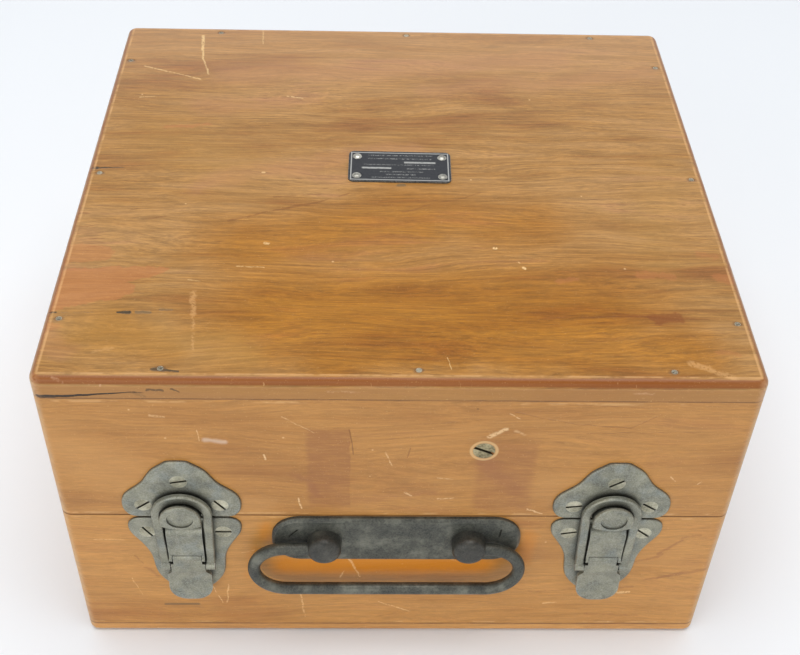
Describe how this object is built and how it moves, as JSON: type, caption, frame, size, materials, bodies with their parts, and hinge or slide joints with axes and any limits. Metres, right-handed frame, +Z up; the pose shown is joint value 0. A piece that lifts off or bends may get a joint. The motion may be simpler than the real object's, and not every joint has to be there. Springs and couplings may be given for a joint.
{
  "type": "survey instrument carrying case",
  "caption": "Lidded wooden carrying case for a surveying instrument, with rear butt hinges, front draw latches, a drop handle, a nameplate and a felt-lined cradle.",
  "frame": {"origin": "centre of the underside of the bottom board", "axes": "+Z up; +X to the right when the front is faced; the latches and handle face -Y"},
  "size_m": [0.3048, 0.304, 0.1804],
  "materials": {
    "varnished_wood_top": "aged orange varnish, worn edges",
    "varnished_wood_walls": "aged orange varnish",
    "varnished_wood_bottom": "aged varnish",
    "inner_wood": "plain sanded wood",
    "green_felt": "wool felt",
    "dull_steel": "dulled steel",
    "plated_steel": "dull plating",
    "nameplate_black": "black etched plate with bare rim",
    "nickel_pins": "nickel",
    "gunmetal": "worn dark grey paint",
    "zinc_grey": "satin zinc grey",
    "brassy_screws": "worn brassy plating"
  },
  "bodies": {
    "case": {"base_front": "varnished_wood_walls", "base_back": "varnished_wood_walls", "base_left": "varnished_wood_walls", "base_right": "varnished_wood_walls", "base_bottom": "varnished_wood_bottom", "bottom_brads": "dull_steel", "cradle_left": "inner_wood", "cradle_right": "inner_wood", "cradle_felt_left": "green_felt", "cradle_felt_right": "green_felt", "cradle_screws": "dull_steel", "left_hinge_base_leaf": "plated_steel", "left_hinge_pin": "plated_steel", "right_hinge_base_leaf": "plated_steel", "right_hinge_pin": "plated_steel", "hinge_base_screws": "plated_steel", "handle_plate": "gunmetal", "handle_screws": "gunmetal", "handle_stud_left": "gunmetal", "handle_stud_right": "gunmetal", "left_latch_plate": "zinc_grey", "left_latch_screws": "brassy_screws", "left_fulcrum_pin": "plated_steel", "right_latch_plate": "zinc_grey", "right_latch_screws": "brassy_screws", "right_fulcrum_pin": "plated_steel"},
    "lid": {"lid_front": "varnished_wood_walls", "lid_back": "varnished_wood_walls", "lid_left": "varnished_wood_walls", "lid_right": "varnished_wood_walls", "lid_top": "varnished_wood_top", "lid_brads": "dull_steel", "nameplate": "nameplate_black", "nameplate_pins": "nickel_pins", "lid_front_screw": "dull_steel", "hold_down_block": "inner_wood", "hold_down_felt": "green_felt", "left_hinge_lid_leaf": "plated_steel", "right_hinge_lid_leaf": "plated_steel", "hinge_lid_screws": "plated_steel", "left_strike_plate": "zinc_grey", "left_strike_screws": "brassy_screws", "right_strike_plate": "zinc_grey", "right_strike_screws": "brassy_screws"},
    "bail": {"handle_bail": "gunmetal"},
    "left_lever": {"left_lever": "zinc_grey", "left_loop_pin": "plated_steel"},
    "left_loop": {"left_loop": "zinc_grey"},
    "right_lever": {"right_lever": "zinc_grey", "right_loop_pin": "plated_steel"},
    "right_loop": {"right_loop": "zinc_grey"}
  },
  "joints": [
    {"name": "lid_hinge", "type": "hinge", "parent": "case", "child": "lid", "pos_m": [0, 0.1464, 0.092], "axis": [-1, 0, 0], "range_deg": [0, 180]},
    {"name": "bail_swing", "type": "hinge", "parent": "case", "child": "bail", "pos_m": [0, -0.1504, 0.0764], "axis": [-1, 0, 0], "range_deg": [0, 180]},
    {"name": "left_lever_swing", "type": "hinge", "parent": "case", "child": "left_lever", "pos_m": [-0.0968, -0.1478, 0.0672], "axis": [-1, 0, 0], "range_deg": [0, 105]},
    {"name": "left_loop_carry", "type": "hinge", "parent": "left_lever", "child": "left_loop", "pos_m": [-0.0968, -0.1482, 0.061], "axis": [-1, 0, 0], "range_deg": [-99, 0]},
    {"name": "right_lever_swing", "type": "hinge", "parent": "case", "child": "right_lever", "pos_m": [0.0968, -0.1478, 0.0672], "axis": [-1, 0, 0], "range_deg": [0, 105]},
    {"name": "right_loop_carry", "type": "hinge", "parent": "right_lever", "child": "right_loop", "pos_m": [0.0968, -0.1482, 0.061], "axis": [-1, 0, 0], "range_deg": [-99, 0]}
  ],
  "couplings": [
    {"joint": "left_loop_carry", "follows": "left_lever_swing", "ratio": -0.935},
    {"joint": "right_loop_carry", "follows": "right_lever_swing", "ratio": -0.935}
  ]
}
